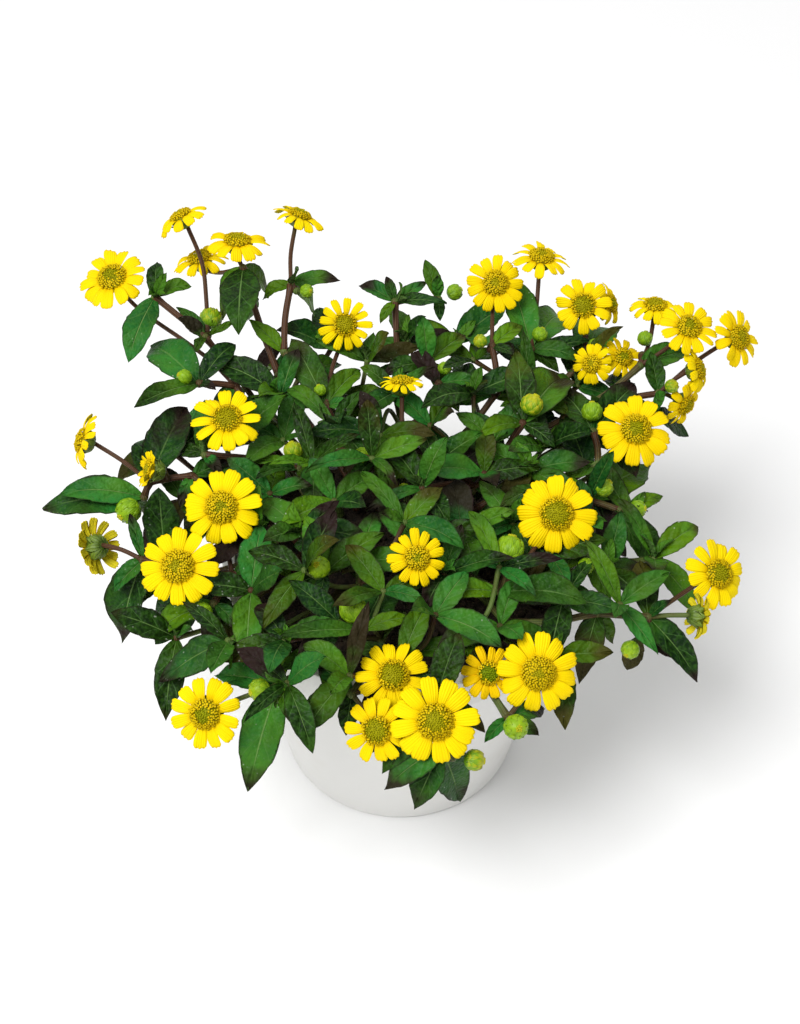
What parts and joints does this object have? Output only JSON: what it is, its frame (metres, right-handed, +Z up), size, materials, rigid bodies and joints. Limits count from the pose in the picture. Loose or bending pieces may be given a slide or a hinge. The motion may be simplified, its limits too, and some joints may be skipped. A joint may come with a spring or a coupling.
{
  "type": "potted creeping zinnia",
  "caption": "Low cushion of leafy branching stems with small yellow daisy-like flower heads and round green buds, growing in a round tapered plastic pot.",
  "frame": {"origin": "middle of the pot's flat underside, on the pot's own axis", "axes": "+Z up along the pot's axis, -Y towards the viewer, +X to the viewer's right"},
  "size_m": [0.2255, 0.1952, 0.1491],
  "materials": {
    "pot": "matt off-white plastic",
    "soil": "dark, damp, crumbly peat soil",
    "shoot": "soft green leaves with fine hairs",
    "flower": "satin golden-yellow petals"
  },
  "bodies": {
    "root": {"pot": "pot", "soil": "soil", "shoot_01": "shoot", "shoot_02": "shoot", "shoot_03": "shoot", "shoot_04": "shoot", "shoot_05": "shoot", "shoot_06": "shoot", "shoot_07": "shoot", "shoot_08": "shoot", "shoot_09": "shoot", "shoot_10": "shoot", "shoot_11": "shoot", "shoot_12": "shoot", "shoot_13": "shoot", "shoot_14": "shoot", "shoot_15": "shoot", "shoot_16": "shoot", "shoot_17": "shoot", "shoot_18": "shoot", "shoot_19": "shoot", "shoot_20": "shoot", "shoot_21": "shoot", "shoot_22": "shoot", "shoot_23": "shoot", "flower_01": "flower", "flower_02": "flower", "flower_03": "flower", "flower_04": "flower", "flower_05": "flower", "flower_06": "flower", "flower_07": "flower", "flower_08": "flower", "flower_09": "flower", "flower_10": "flower", "flower_11": "flower", "flower_12": "flower", "flower_13": "flower", "flower_14": "flower", "flower_15": "flower", "flower_16": "flower", "flower_17": "flower", "flower_18": "flower", "flower_19": "flower", "flower_20": "flower", "flower_21": "flower", "flower_22": "flower", "flower_23": "flower", "flower_24": "flower", "flower_25": "flower", "flower_26": "flower", "flower_27": "flower", "flower_28": "flower", "flower_29": "flower", "flower_30": "flower", "flower_31": "flower", "flower_32": "flower", "flower_33": "flower", "flower_34": "flower", "flower_35": "flower"}
  },
  "joints": []
}
